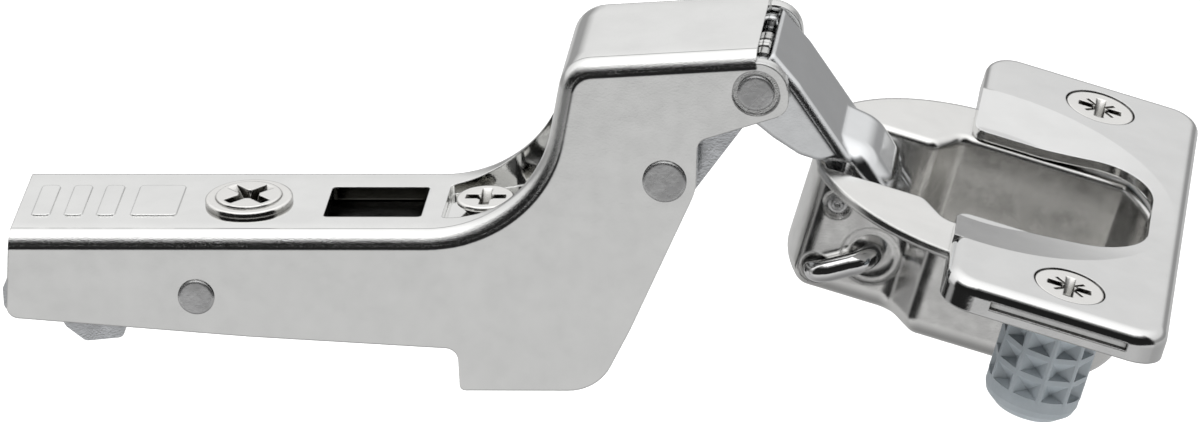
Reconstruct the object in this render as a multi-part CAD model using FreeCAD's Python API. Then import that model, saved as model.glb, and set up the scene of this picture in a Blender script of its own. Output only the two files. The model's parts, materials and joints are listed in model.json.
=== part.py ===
import FreeCAD, Part
import math
import os
from FreeCAD import Vector

# Cranked concealed hinge, fully open.
# +X runs from the arm's rear end to the cup, +Z is up, Y = 0 is the middle plane.
# The origin is the middle of the seat on the mounting plate, under the rear pin.
# All lengths are in millimetres and all angles in degrees.

# Arm, a folded channel with a crank
arm_width = 16.7
arm_sheet = 1.4
arm_bend = 1.65
inner_arm_half = arm_width / 2 - arm_sheet
outer_link_gap = 0.55
outer_half = inner_arm_half - outer_link_gap
arm_top = 10.5
arm_rear = -18.65
arm_rear_low_x = -19.45
arm_rear_low_z = 1.4
arm_rear_corner = 1.2
arm_belly_x = 5.0
arm_belly_z = -0.65
foot_x = 26.1
foot_step_z = -1.95
foot_bottom = -6.5
foot_step_radius = 1.3
foot_corner = 0.6
foot_toe_x = 40.0
foot_toe_radius = 5.0
crank_x = 34.06
crank_lean = 77.6
crank_foot_radius = 13.35
crank_head_radius = 3.6
head_z = 28.6
head_rise = 3.3
nose_reach = 3.2
front_low_x = 43.6
front_low_z = 0.2
front_high_x = 50.8
front_high_z = 15.2
front_notch_x = 51.2
front_notch_z = 20.6
nose_low_z = 23.55

# Openings and raised bars in the arm's top
window_x = 17.55
window_length = 9.9
window_width = 7.6
window_corner = 0.4
bar_first_x = -16.1
bar_pitch = 3.3
bar_length = 1.9
wide_bar_x = -4.65
wide_bar_length = 4.7
bar_width = 7.6
bar_height = 0.2
bar_rounding = 0.12
dent_start_x = 24.6
dent_end_x = 36.9
dent_floor_z = 9.55
dent_high_z = 25.5
dent_radius = 6.5
dent_wall = 1.1
dent_edge = 0.65
dent_end_half = inner_arm_half - dent_edge
dent_widening = 2.15
dent_start_half = dent_end_half - dent_widening
dent_widen_x = 31.4

# Pins
rear_pin_x = 0.0
rear_pin_z = 3.72
rear_pin_radius = 1.5
rear_head_radius = 1.85
pin_a_x = 47.75
pin_a_z = 16.33
pin_a_radius = 1.5
pin_a_head_radius = 2.2
pin_b_x = 57.25
web_past_pin_b = 0.15
web_front = pin_b_x + web_past_pin_b
pin_b_z = 25.78
pin_b_radius = 1.4
pin_b_head_radius = 1.85
pin_b_seat_radius = 2.35
pin_b_seat_depth = 0.12
head_proud = 0.3
running_clearance = 0.05

# Cup frame: u along the door, v along Y, h out of the door, tilted when open
open_tilt = 18.4
cup_x = 79.82
cup_z = 14.31
cup_radius = 17.5
cup_depth = 15.5
cup_wall = 1.0
cup_round_wall = 0.45
cup_floor = 0.8
cup_floor_rounding = 2.2
cup_end_rounding = 1.5
cup_inner_rounding = 0.5
cup_rim_rounding = 0.85
collar_reach = 0.7
collar_radius = cup_radius + collar_reach
collar_top = -2.2
collar_sheet = 0.9
tub_link_gap = 0.2
tub_narrow_half = outer_half + tub_link_gap + cup_wall
tub_wide_half = 11.3
tub_step_start = -6.45
tub_step_end = -3.9
tub_end_corner = 2.0
end_wall_drop = 1.2

# Cup pins
wire_radius = 1.15
outer_pivot_inset = 8.2
outer_pivot_u = outer_pivot_inset - cup_radius
outer_pivot_h = -9.8
wire_leg_inset = 3.2
wire_leg_u = wire_leg_inset - cup_radius
wire_leg_h = -13.1
wire_stand_off = 0.95
wire_end_past_wall = 0.4
wire_bend_ratio = 1.6
wire_seat_radius = 2.5
wire_seat_depth = 0.7
wire_seat_ring = 0.5
wire_seat_ring_depth = 0.12
leg_seat_radius = 1.9
pin_g_inset = 3.5
pin_g_u = pin_g_inset - cup_radius
pin_g_h = -5.6
pin_g_radius = 1.1
pin_g_seat_radius = 1.35
pin_g_seat_depth = 0.4
pin_g_tip_radius = 0.6
pin_g_tip_length = 0.25
pin_g_dimple_radius = 0.3

# Flange plate
flange_left = -2.6
flange_right = 20.0
flange_half = 28.7
flange_thickness = 3.1
flange_sheet = 1.0
flange_corner = 3.3
flange_edge_rounding = 1.3
wing_arc_margin = 1.25
wing_arc_radius = cup_radius + wing_arc_margin
opening_half = 10.4
opening_end_margin = 1.1
opening_right = cup_radius - opening_end_margin
opening_corner = 6.5
opening_left_rounding = 1.5
opening_rim_drop = 1.1
slot_u = 9.3
slot_length = 13.9
slot_height = 0.8
slot_depth = 0.35
slot_h = -1.75
screw_u = 9.5
screw_end_margin = 6.2
screw_spacing = 2 * (flange_half - screw_end_margin)
screw_head_radius = 3.5
screw_seat_clearance = 0.15
screw_shank_radius = 2.0
screw_head_height = 2.0
screw_length = 11.5
recess_cross_length = 4.6
recess_cross_width = 1.0
recess_cross_depth = 1.4
recess_star_length = 4.0
recess_star_width = 0.35
recess_star_depth = 0.2

# Dowels
dowel_radius = 4.8
dowel_length = 10.6
dowel_taper = 1.6
dowel_taper_length = 2.6
dowel_rows = 3
dowel_columns = 10
dowel_pocket_depth = 0.7
dowel_rib = 0.5
dowel_neck = 0.6

# Links
outer_sheet = 1.4
outer_top_sheet = 1.1
outer_bend = 1.0
outer_toe_bend = 3.2
outer_eye_b = 2.6
outer_eye_r = 2.4
outer_cover = 3.55
outer_toe_radius = 5.2
outer_hook_radius = 3.2
inner_link_gap = 0.3
inner_half = outer_half - outer_sheet - inner_link_gap
inner_sheet = 1.4
inner_eye = 3.0
inner_saddle_gap = 0.5
spring_wire = 0.8
spring_turns = 2
spring_low_y = -1.25
spring_high_y = 0.15
bush_wall = 0.8
near_bush_low_y = -3.2
near_bush_high_y = -1.75
far_bush_low_y = 0.65
far_bush_high_y = 2.15
spring_gap = 0.12

# Clip carrier and its parts
carrier_side_gap = 0.95
carrier_half = inner_arm_half - carrier_side_gap
carrier_sheet = 1.2
carrier_rear = -16.4
carrier_front = 33.2
carrier_top = 7.9
carrier_foot = 2.6
carrier_slide = 1.5
carrier_strap = 4.0
carrier_tongue_x = 22.6
carrier_step = 2.2
carrier_step_run = 1.4
carrier_front_wall = 1.6
carrier_seat_rear = -6.0
carrier_seat_front = 18.8
carrier_tongue_top = 4.2
carrier_tongue_low = 2.2
carrier_gap = 0.25
lever_pin_x = -12.6
lever_pin_z = 4.2
lever_pin_radius = 1.0
lever_side_gap = 0.6
lever_half = carrier_half - carrier_sheet - lever_side_gap
lever_sheet = 1.2
lever_gap_rear = 4.2
lever_gap_low = 2.4
lever_button_x = -20.4
lever_hook_x = -8.4
lever_hook_z = -3.0
latch_spring_wire = 0.7
latch_spring_turns = 4

# Adjusting screws in the arm
cam_x = 4.6
cam_flange_radius = 4.44
cam_flange_height = 0.6
cam_shank_radius = 3.6
cam_boss_radius = 3.35
cam_boss_height = 0.25
cam_cross_length = 5.6
cam_cross_width = 1.15
cam_cross_depth = 1.5
cam_cross_turn = 45.0
cam_throw = 1.8
cam_disc_radius = 1.75
cam_disc_height = 2.2
cam_slot_gap = 0.15
side_screw_x = 28.6
side_screw_top = 11.1
side_screw_head_radius = 2.95
side_screw_rim = 0.45
side_screw_cross_length = 4.2
side_screw_cross_width = 1.0
side_screw_cross_depth = 1.1
side_screw_shank_radius = 1.6
side_screw_low = 0.9
nut_thickness = 1.7
nut_z = 5.3
nut_half_length = 3.1

os.makedirs("parts", exist_ok=True)

Y_AXIS = Vector(0, 1, 0)
Z_AXIS = Vector(0, 0, 1)


def export(name, shape):
    """Write one sub-part, named as its node."""
    if len(shape.Solids) == 1:
        shape = shape.Solids[0]
    shape.exportStep("parts/" + name + ".step")


def block(x0, x1, y0, y1, z0, z1):
    return Part.makeBox(x1 - x0, y1 - y0, z1 - z0, Vector(x0, y0, z0))


def rod_y(x, z, radius, y0, y1):
    return Part.makeCylinder(radius, y1 - y0, Vector(x, y0, z), Y_AXIS)


def rod_z(x, y, radius, z0, z1):
    return Part.makeCylinder(radius, z1 - z0, Vector(x, y, z0), Z_AXIS)


def corner_wire(corners, lift):
    """Closed outline of straight sides and tangent arcs; each corner is (a, b, radius)."""
    count = len(corners)
    points = []
    arcs = []
    for index, (a, b, radius) in enumerate(corners):
        here = Vector(a, b, 0)
        before = Vector(*corners[index - 1][:2], 0) - here
        after = Vector(*corners[(index + 1) % count][:2], 0) - here
        before.normalize()
        after.normalize()
        half = before.getAngle(after) / 2
        if radius <= 0 or half > math.radians(89.5):
            points.append((here, here))
            arcs.append(None)
            continue
        reach = radius / math.tan(half)
        middle = before + after
        middle.normalize()
        centre = here + middle * (radius / math.sin(half))
        points.append((here + before * reach, here + after * reach))
        arcs.append(centre - middle * radius)
    edges = []
    for index in range(count):
        start, end = points[index]
        if arcs[index] is not None:
            edges.append(Part.Arc(lift(start), lift(arcs[index]), lift(end)).toShape())
        following = points[(index + 1) % count][0]
        if end.distanceToPoint(following) > 1e-6:
            edges.append(Part.LineSegment(lift(end), lift(following)).toShape())
    return Part.Wire(edges)


def plate_xz(corners, y0, y1):
    """Prism of an outline in X and Z, from y0 to y1."""
    wire = corner_wire(corners, lambda p: Vector(p.x, y0, p.y))
    return Part.Face(wire).extrude(Vector(0, y1 - y0, 0))


def plate_xy(corners, z0, z1):
    """Prism of an outline in X and Y, from z0 to z1."""
    wire = corner_wire(corners, lambda p: Vector(p.x, p.y, z0))
    return Part.Face(wire).extrude(Vector(0, 0, z1 - z0))


def rounded(shape, radius, chosen):
    """Fillet the edges that the test picks."""
    edges = [edge for edge in shape.Edges if chosen(edge)]
    return shape.makeFillet(radius, edges)


def middle_of(edge):
    return edge.valueAt((edge.FirstParameter + edge.LastParameter) / 2)


def star_recess(top):
    """Cutter for the four fine marks between the arms of a cross recess."""
    half = recess_star_length / 2
    wide = recess_star_width / 2
    mark = block(-half, half, -wide, wide, top - recess_star_depth, top + 1)
    mark.rotate(Vector(0, 0, 0), Z_AXIS, 45)
    other = mark.copy()
    other.rotate(Vector(0, 0, 0), Z_AXIS, 90)
    return mark.fuse(other)


def cross_recess(length, width, depth, top):
    """Cutter for a cross recess on the Z axis, with sloping arm ends."""
    arm = block(-length / 2, length / 2, -width / 2, width / 2, top - depth, top + 1)
    cone = Part.makeCone(length / 2 - depth * 0.9, length / 2 + 0.9, depth + 1, Vector(0, 0, top - depth))
    arm = arm.common(cone)
    turned = arm.copy()
    turned.rotate(Vector(0, 0, 0), Z_AXIS, 90)
    heart = Part.makeCone(width * 0.45, width * 0.95, depth, Vector(0, 0, top - depth))
    return arm.fuse([turned, heart])


def from_cup(shape):
    """Put a shape modelled in the cup's own frame in its open place."""
    shape.rotate(Vector(0, 0, 0), Y_AXIS, open_tilt)
    shape.translate(Vector(cup_x, 0, cup_z))
    return shape


def cup_point(u, h):
    """X and Z of a point given in the cup's frame."""
    tilt = math.radians(open_tilt)
    x = cup_x + u * math.cos(tilt) + h * math.sin(tilt)
    z = cup_z - u * math.sin(tilt) + h * math.cos(tilt)
    return x, z


outer_pivot_x, outer_pivot_z = cup_point(outer_pivot_u, outer_pivot_h)
pin_g_x, pin_g_z = cup_point(pin_g_u, pin_g_h)


def head_line(x, depth):
    """Height of the arm's high top at x, sunk by depth."""
    slope = math.radians(head_rise)
    return head_z + (x - crank_x) * math.tan(slope) - depth / math.cos(slope)


def crank_line(z, depth):
    """X of the leaning crank wall at height z, sunk by depth."""
    lean = math.radians(crank_lean)
    return crank_x + (z - arm_top) / math.tan(lean) + depth / math.sin(lean)


def crank_head(depth):
    """Corner where the crank wall meets the high top."""
    z = head_z
    for _ in range(20):
        x = crank_line(z, depth)
        z = head_line(x, depth)
    return x, z


def arm_side_outline():
    """One side plate: rear end, foot, front edge, round nose beside pin B, and the web's contour."""
    nose_x = pin_b_x + nose_reach
    nose_top = pin_b_z + nose_reach
    head_x, corner_z = crank_head(0)
    return [
        (arm_rear, arm_top, 0),
        (arm_rear_low_x, arm_rear_low_z, arm_rear_corner),
        (arm_belly_x, arm_belly_z, 0),
        (foot_x, foot_step_z, foot_step_radius),
        (foot_x, foot_bottom, foot_corner),
        (foot_toe_x, foot_bottom, foot_toe_radius),
        (front_low_x, front_low_z, foot_step_radius),
        (front_high_x, front_high_z, foot_toe_radius),
        (front_notch_x, front_notch_z, foot_step_radius),
        (nose_x, nose_low_z, nose_reach * 0.6),
        (nose_x, nose_top, nose_x - web_front - 0.01),
        (web_front, nose_top, 0),
        (web_front, head_line(web_front, 0), 0),
        (head_x, corner_z, crank_head_radius),
        (crank_line(arm_top, 0), arm_top, crank_foot_radius),
    ]


def arm_contour(depth):
    """The folded sheet's upper contour sunk by depth, closed far below and past both ends."""
    past = 30.0
    head_x, corner_z = crank_head(depth)
    front = pin_b_x + past
    top = arm_top - depth
    return [
        (arm_rear - past, top, 0),
        (arm_rear - past, foot_bottom - past, 0),
        (front, foot_bottom - past, 0),
        (front, head_line(front, depth), 0),
        (head_x, corner_z, crank_head_radius - depth),
        (crank_line(top, depth), top, crank_foot_radius + depth),
    ]


def side_bends(edge):
    """True for the long upper edges of the arm's contour, on both sides."""
    box = edge.BoundBox
    return box.YLength < 1e-3 and abs(box.YMin) > inner_arm_half and box.ZMin > foot_bottom


def crank_dent(grow):
    """Space pressed into the crank's foot round the side screw, grown by the sheet's wall."""
    side = [
        (dent_start_x - grow, dent_high_z, 0),
        (dent_start_x - grow, dent_floor_z - grow, 0),
        (dent_end_x + grow, dent_floor_z - grow, dent_radius + grow),
        (dent_end_x + grow, dent_high_z, 0),
    ]
    start = dent_start_half + grow
    end = dent_end_half + grow * 0.5
    plan = [
        (dent_start_x - grow, -start, 0.8),
        (dent_widen_x, -end, 3.0),
        (dent_end_x + grow + 1, -end, 0),
        (dent_end_x + grow + 1, end, 0),
        (dent_widen_x, end, 3.0),
        (dent_start_x - grow, start, 0.8),
    ]
    return plate_xz(side, -end, end).common(plate_xy(plan, dent_floor_z - 5, dent_high_z + 5))


def hinge_arm():
    """Folded channel: two side plates under a cranked web."""
    half = arm_width / 2
    reach = pin_b_x + nose_reach + 1
    channel = rounded(plate_xz(arm_contour(0), -half, half), arm_bend, side_bends)
    plates = plate_xz(arm_side_outline(), -half, half)
    nose = plates.common(block(web_front, reach, -half, half, foot_bottom, head_z + 5))
    beyond = block(web_front, reach, -half - 1, half + 1, foot_bottom, head_z + 5)
    folded = plates.common(channel).cut(beyond)
    hollow = plate_xz(arm_contour(arm_sheet), -inner_arm_half, inner_arm_half)
    hollow = hollow.cut(crank_dent(dent_wall))
    body = folded.fuse(nose).cut(hollow)
    body = body.cut(block(web_front, reach, -inner_arm_half, inner_arm_half, pin_b_z - 5, head_z + 5))
    body = body.cut(crank_dent(0))
    window_corners = rectangle(window_x, 0, window_length, window_width, window_corner)
    body = body.cut(plate_xy(window_corners, 0, arm_top + 1))
    cam_hole = rod_z(cam_x, 0, cam_shank_radius + running_clearance, 0, arm_top + 1)
    screw_hole = rod_z(side_screw_x, 0, side_screw_shank_radius + carrier_gap, 0, dent_floor_z + 1)
    body = body.cut([cam_hole, screw_hole])
    for x, z, radius in pin_seats():
        body = body.cut(rod_y(x, z, radius, -half - 1, half + 1))
    body = body.cut(seat_rings())
    return body.fuse(raised_bars()).removeSplitter()


def rectangle(x, y, length, width, radius):
    left = x - length / 2
    right = x + length / 2
    low = y - width / 2
    high = y + width / 2
    return [(left, low, radius), (right, low, radius), (right, high, radius), (left, high, radius)]


def pin_seats():
    return [
        (rear_pin_x, rear_pin_z, rear_pin_radius + running_clearance),
        (pin_a_x, pin_a_z, pin_a_radius),
        (pin_b_x, pin_b_z, pin_b_radius),
    ]


def seat_rings():
    """Shallow round seats that sink the heads of pin B."""
    half = arm_width / 2
    near = rod_y(pin_b_x, pin_b_z, pin_b_seat_radius, -half - 1, -half + pin_b_seat_depth)
    far = rod_y(pin_b_x, pin_b_z, pin_b_seat_radius, half - pin_b_seat_depth, half + 1)
    return near.fuse(far)


def raised_bars():
    """Three narrow bars and a wide one, pressed up from the web."""
    places = [(bar_first_x + bar_pitch * index, bar_length) for index in range(3)]
    places.append((wide_bar_x, wide_bar_length))
    bars = []
    for x, length in places:
        corners = rectangle(x, 0, length, bar_width, bar_length / 4)
        bar = plate_xy(corners, arm_top - bar_height, arm_top + bar_height)
        bars.append(rounded(bar, bar_rounding, lambda e: middle_of(e).z > arm_top + bar_height - 1e-3))
    return bars[0].fuse(bars[1:])


def rivet(x, z, shank, head, head_height, sunk):
    """Pin across the arm with a low head at each side."""
    half = arm_width / 2 - sunk
    pin = rod_y(x, z, shank, -half, half)
    near = rod_y(x, z, head, -half - head_height, -half)
    far = rod_y(x, z, head, half, half + head_height)
    edge = head_height * 0.5
    near = rounded(near, edge, lambda e: middle_of(e).y < -half - head_height + 1e-3)
    far = rounded(far, edge, lambda e: middle_of(e).y > half + head_height - 1e-3)
    return pin.fuse([near, far]).removeSplitter()


def along_link(s, d):
    """Point beside the line from pin B to the outer cup pivot: s along it, d to its upper side."""
    run = Vector(outer_pivot_x - pin_b_x, outer_pivot_z - pin_b_z, 0)
    run.normalize()
    side = Vector(-run.y, run.x, 0)
    place = Vector(pin_b_x, pin_b_z, 0) + run * s + side * d
    return place.x, place.y


def link_place(x, z):
    """Distance along and beside the outer link's line for a point in X and Z."""
    run = Vector(outer_pivot_x - pin_b_x, outer_pivot_z - pin_b_z, 0)
    run.normalize()
    side = Vector(-run.y, run.x, 0)
    offset = Vector(x - pin_b_x, z - pin_b_z, 0)
    return offset.dot(run), offset.dot(side)


def outer_top(depth):
    """Corners of the outer link's upper contour, sunk by depth, from the knuckle to the toe."""
    length = math.hypot(outer_pivot_x - pin_b_x, outer_pivot_z - pin_b_z)
    arch_s, arch_d = link_place(pin_g_x, pin_g_z)
    toe = outer_toe_radius - depth
    return [
        along_link(-1.9 + depth * 0.2, outer_cover - 0.55 - depth) + (0.0,),
        along_link(2.4, outer_cover - 0.1 - depth) + (6.0,),
        along_link(arch_s - toe * 0.95, outer_cover - depth) + (0.4,),
        along_link(arch_s - toe * 0.42, arch_d + toe) + (toe * 0.8,),
        along_link(arch_s + toe * 0.5, arch_d + toe) + (toe * 0.8,),
        along_link(length + outer_eye_r * 0.4, arch_d + outer_eye_r * 1.15 - depth) + (1.0,),
    ]


def bent_prism(contour, radius):
    """Prism as wide as the outer link, with the long edges between its first and last corner bent round."""
    prism = plate_xz(contour, -outer_half, outer_half)
    ends = (contour[0], contour[-1])

    def upper(edge):
        if edge.BoundBox.YLength > 1e-3:
            return False
        for x, z, _ in ends:
            for vertex in edge.Vertexes:
                if math.hypot(vertex.X - x, vertex.Z - z) < 1e-3:
                    return False
        return True

    return rounded(prism, radius, upper)


def outer_channel(length):
    """Block under the outer link's upper contour: a straight part and a toe with a wider bend."""
    top = outer_top(0)
    crease = top[2][:2] + (0.0,)
    crease_d = link_place(crease[0], crease[1])[1]
    low_left = along_link(-12, -20) + (0.0,)
    low_right = along_link(length + 12, -20) + (0.0,)
    past_crease = along_link(length + 6, crease_d) + (0.0,)
    straight = bent_prism([low_left, top[0], top[1], past_crease, low_right], outer_bend)
    crease_s = link_place(crease[0], crease[1])[0]
    low_crease = along_link(crease_s, -20) + (0.0,)
    toe = bent_prism([low_crease, crease] + top[3:] + [low_right], outer_toe_bend)
    return straight.fuse(toe)


def outer_link():
    """Folded link: two side plates hooked over pin G, and a top plate with a curved toe."""
    length = math.hypot(outer_pivot_x - pin_b_x, outer_pivot_z - pin_b_z)
    arch_s, arch_d = link_place(pin_g_x, pin_g_z)
    outline = outer_top(0)
    outline.append(along_link(length, 0) + (0.0,))
    outline.append(along_link(arch_s + outer_hook_radius, arch_d - 0.6) + (0.6,))
    outline.append(along_link(arch_s + outer_hook_radius * 0.75, arch_d + outer_hook_radius) + (2.2,))
    outline.append(along_link(arch_s - outer_hook_radius * 0.9, arch_d + outer_hook_radius) + (1.6,))
    outline.append(along_link(arch_s - outer_hook_radius - 1.6, arch_d + 0.55) + (0.4,))
    outline.append(along_link(8.3, -0.5) + (2.0,))
    outline.append(along_link(5.4, -1.75) + (0.5,))
    outline.append(along_link(2.6, -2.6) + (0.5,))
    outline.append(along_link(-0.6, -2.6) + (1.0,))
    body = plate_xz(outline, -outer_half, outer_half).common(outer_channel(length))
    inside = outer_half - outer_sheet
    under = outer_top(outer_top_sheet)
    first = under[0]
    hollow = [along_link(-12, link_place(first[0], first[1])[1] - 0.2) + (0.0,)]
    hollow += under[:-1]
    hollow += [
        along_link(length - 2.6, outer_eye_r + 12) + (0.0,),
        along_link(length + 12, outer_eye_r + 12) + (0.0,),
        along_link(length + 12, -20) + (0.0,),
        along_link(-12, -20) + (0.0,),
    ]
    body = body.cut(plate_xz(hollow, -inside, inside))
    spring_reach = pin_b_radius + 2 * spring_gap + spring_wire
    body = body.cut(rod_y(pin_b_x, pin_b_z, spring_reach, -inside, inside))
    for y0, y1 in ((-outer_half, -inside), (inside, outer_half)):
        eye_b = rod_y(pin_b_x, pin_b_z, outer_eye_b, y0, y1)
        eye_r = rod_y(outer_pivot_x, outer_pivot_z, outer_eye_r, y0, y1)
        body = body.fuse([eye_b, eye_r])
    body = body.removeSplitter()
    pin_hole = pin_b_radius + running_clearance
    body = body.cut(rod_y(pin_b_x, pin_b_z, pin_hole, -outer_half - 1, outer_half + 1))
    wire_hole = wire_radius + running_clearance
    return body.cut(rod_y(outer_pivot_x, outer_pivot_z, wire_hole, -outer_half - 1, outer_half + 1))


def inner_link():
    """Arched link from pin A, under pin B, to a saddle over pin G."""
    seat = pin_g_radius + inner_saddle_gap
    outline = [
        (pin_a_x + 0.5, pin_a_z - inner_eye, 0.0),
        (pin_a_x + 2.4, pin_a_z - inner_eye * 0.9, 1.0),
        (pin_b_x - 2.3, pin_b_z - 5.8, 2.0),
        (pin_b_x - 0.9, pin_b_z - 3.9, 1.2),
        (pin_b_x + 1.1, pin_b_z - 4.2, 1.0),
        (pin_g_x - 3.9, pin_g_z + 5.9, 1.0),
        (pin_g_x - 1.3, pin_g_z + 3.4, 0.6),
        (pin_g_x - 1.3, pin_g_z + seat, 0.3),
        (pin_g_x + 0.45, pin_g_z + seat, 0.3),
        (pin_g_x + 0.35, pin_g_z + seat + 0.9, 0.5),
        (pin_g_x - 0.9, pin_g_z + 4.1, 2.0),
        (pin_g_x - 2.2, pin_g_z + 5.9, 1.0),
        (pin_g_x - 3.3, pin_g_z + 7.8, 3.0),
        (pin_b_x + 1.4, pin_b_z - 2.6, 2.0),
        (pin_b_x - 1.5, pin_b_z - 2.2, 1.5),
        (pin_a_x - 1.0, pin_a_z + inner_eye * 0.95, 1.5),
    ]
    body = plate_xz(outline, -inner_half, inner_half)
    body = body.fuse(rod_y(pin_a_x, pin_a_z, inner_eye, -inner_half, inner_half)).removeSplitter()
    inside = inner_half - inner_sheet
    gap = block(pin_a_x + inner_eye + 1.0, pin_g_x - 3.2, -inside, inside, pin_a_z - 10, pin_b_z + 10)
    body = body.cut(gap)
    hole = pin_a_radius + running_clearance
    return body.cut(rod_y(pin_a_x, pin_a_z, hole, -inner_half - 1, inner_half + 1))


def closing_spring():
    """Coils round pin B, in the middle of the knuckle."""
    mean = pin_b_radius + spring_gap + spring_wire / 2
    length = spring_high_y - spring_low_y
    helix = Part.makeHelix(length / spring_turns, length, mean)
    path = Part.Wire(helix.Edges)
    profile = Part.Wire(Part.makeCircle(spring_wire / 2, Vector(mean, 0, 0), Y_AXIS))
    coil = path.makePipeShell([profile], True, True)
    coil.rotate(Vector(0, 0, 0), Vector(1, 0, 0), 90)
    coil.translate(Vector(pin_b_x, spring_high_y, pin_b_z))
    return coil


def pin_bush(y0, y1):
    """Short sleeve on pin B, beside the spring."""
    inner = pin_b_radius + running_clearance
    sleeve = rod_y(pin_b_x, pin_b_z, inner + bush_wall, y0, y1)
    return sleeve.cut(rod_y(pin_b_x, pin_b_z, inner, y0 - 1, y1 + 1))


def tub_outline(inset, end_left, end_right):
    """Plan of the stepped tub, pulled in by inset."""
    narrow = tub_narrow_half - inset
    wide = tub_wide_half - inset
    start = tub_step_start + inset * 0.6
    end = tub_step_end + inset * 0.6
    corner = max(tub_end_corner - inset, 0.5)
    return [
        (end_left, -narrow, 0.8),
        (start, -narrow, 1.6),
        (end, -wide, 1.6),
        (end_right, -wide, corner),
        (end_right, wide, corner),
        (end, wide, 1.6),
        (start, narrow, 1.6),
        (end_left, narrow, 0.8),
    ]


def on_cup_rim(edge):
    """True for the edges round the tub's mouth, in the cup's frame."""
    box = edge.BoundBox
    middle = middle_of(edge)
    level = abs(box.ZMin - collar_top) < 1e-3 and abs(box.ZMax - collar_top) < 1e-3
    return level and math.hypot(middle.x, middle.y) < cup_radius


def on_cup_end(edge):
    """True for the two upright edges at the tub's narrow end, in the cup's frame."""
    middle = middle_of(edge)
    return edge.BoundBox.ZLength > cup_depth / 2 and middle.x < wire_leg_u


def side_seat(u, h, radius, depth, side):
    """Flat round seat cut into the outside of a narrow side wall, in the cup's frame."""
    start = tub_narrow_half - depth
    return Part.makeCylinder(radius, depth + 1, Vector(u, side * start, h), Vector(0, side, 0))


def side_dish(u, h, radius, side):
    """Cone-shaped dish round a leg of the wire, cut into the outside of a narrow side wall."""
    floor = wire_radius + running_clearance
    start = Vector(u, side * (tub_narrow_half - wire_seat_depth), h)
    return Part.makeCone(floor, radius, wire_seat_depth, start, Vector(0, side, 0))


def cup():
    """Drawn tub with a stepped plan and a thin round collar."""
    outer = plate_xy(tub_outline(0, -cup_radius - 1, cup_radius + 1), -cup_depth, collar_top)
    outer = outer.common(rod_z(0, 0, cup_radius, -cup_depth, collar_top))
    outer = rounded(outer, cup_end_rounding, on_cup_end)
    outer = rounded(outer, cup_floor_rounding, lambda e: e.BoundBox.ZMax < -cup_depth + 1e-3)
    inner_radius = cup_radius - cup_round_wall
    inner = plate_xy(tub_outline(cup_wall, -cup_radius, opening_right), -cup_depth + cup_floor, 1)
    inner = inner.common(rod_z(0, 0, inner_radius, -cup_depth, 1))
    inner = rounded(inner, cup_inner_rounding, lambda e: e.BoundBox.ZMax < -cup_depth + cup_floor + 1e-3)
    collar = rod_z(0, 0, collar_radius, collar_top - collar_sheet, collar_top)
    body = outer.fuse(collar).cut(inner).removeSplitter()
    body = rounded(body, cup_rim_rounding, on_cup_rim)
    mouth_half = tub_narrow_half - cup_wall
    drop = collar_top - end_wall_drop
    mouth = block(-collar_radius - 1, -cup_radius + cup_wall + 1, -mouth_half, mouth_half, drop, 1)
    body = body.cut(mouth)
    body = body.cut(bent_wire(wire_radius))
    for side in (-1, 1):
        body = body.cut(side_dish(outer_pivot_u, outer_pivot_h, wire_seat_radius, side))
        body = body.cut(side_dish(wire_leg_u, wire_leg_h, leg_seat_radius, side))
        ring = wire_seat_radius + wire_seat_ring
        body = body.cut(side_seat(outer_pivot_u, outer_pivot_h, ring, wire_seat_ring_depth, side))
        body = body.cut(side_seat(pin_g_u, pin_g_h, pin_g_seat_radius, pin_g_seat_depth, side))
    body = body.cut(rod_y(pin_g_u, pin_g_h, pin_g_radius, -cup_radius, cup_radius))
    return from_cup(body.removeSplitter())


def bent_wire(radius):
    """One wire bent to a U, with two legs across the cup, in the cup's frame."""
    bend = -tub_narrow_half - wire_stand_off
    far = tub_narrow_half + wire_end_past_wall
    turn = wire_radius * wire_bend_ratio
    first = Vector(outer_pivot_u, far, outer_pivot_h)
    second = Vector(wire_leg_u, far, wire_leg_h)
    across = second - first
    across.normalize()
    across = across * turn
    inward = Vector(0, turn, 0)
    slant = 1 - math.sqrt(0.5)
    corner_1 = Vector(outer_pivot_u, bend, outer_pivot_h)
    corner_2 = Vector(wire_leg_u, bend, wire_leg_h)
    middle_1 = corner_1 + (inward + across) * slant
    middle_2 = corner_2 + (inward - across) * slant
    edges = [
        Part.LineSegment(first, corner_1 + inward).toShape(),
        Part.Arc(corner_1 + inward, middle_1, corner_1 + across).toShape(),
        Part.LineSegment(corner_1 + across, corner_2 - across).toShape(),
        Part.Arc(corner_2 - across, middle_2, corner_2 + inward).toShape(),
        Part.LineSegment(corner_2 + inward, second).toShape(),
    ]
    profile = Part.Wire(Part.makeCircle(radius, first, Y_AXIS))
    return Part.Wire(edges).makePipeShell([profile], True, False)


def u_pin():
    """The bent wire that joins the outer link to the cup."""
    return from_cup(bent_wire(wire_radius))


def pin_g():
    """Small rivet across the cup's narrow end, with dimpled tips sunk in round seats."""
    half = tub_narrow_half - pin_g_seat_depth
    reach = half + pin_g_tip_length
    pin = rod_y(pin_g_u, pin_g_h, pin_g_radius, -half, half)
    tips = rod_y(pin_g_u, pin_g_h, pin_g_tip_radius, -reach, reach)
    near = rod_y(pin_g_u, pin_g_h, pin_g_dimple_radius, -reach, -half)
    far = rod_y(pin_g_u, pin_g_h, pin_g_dimple_radius, half, reach)
    return from_cup(pin.fuse(tips).cut(near.fuse(far)).removeSplitter())


def flange_outline(inset):
    left = flange_left + inset
    right = flange_right - inset
    half = flange_half - inset
    radius = flange_corner - inset
    return [(left, -half, radius), (right, -half, radius), (right, half, radius), (left, half, radius)]


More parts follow.
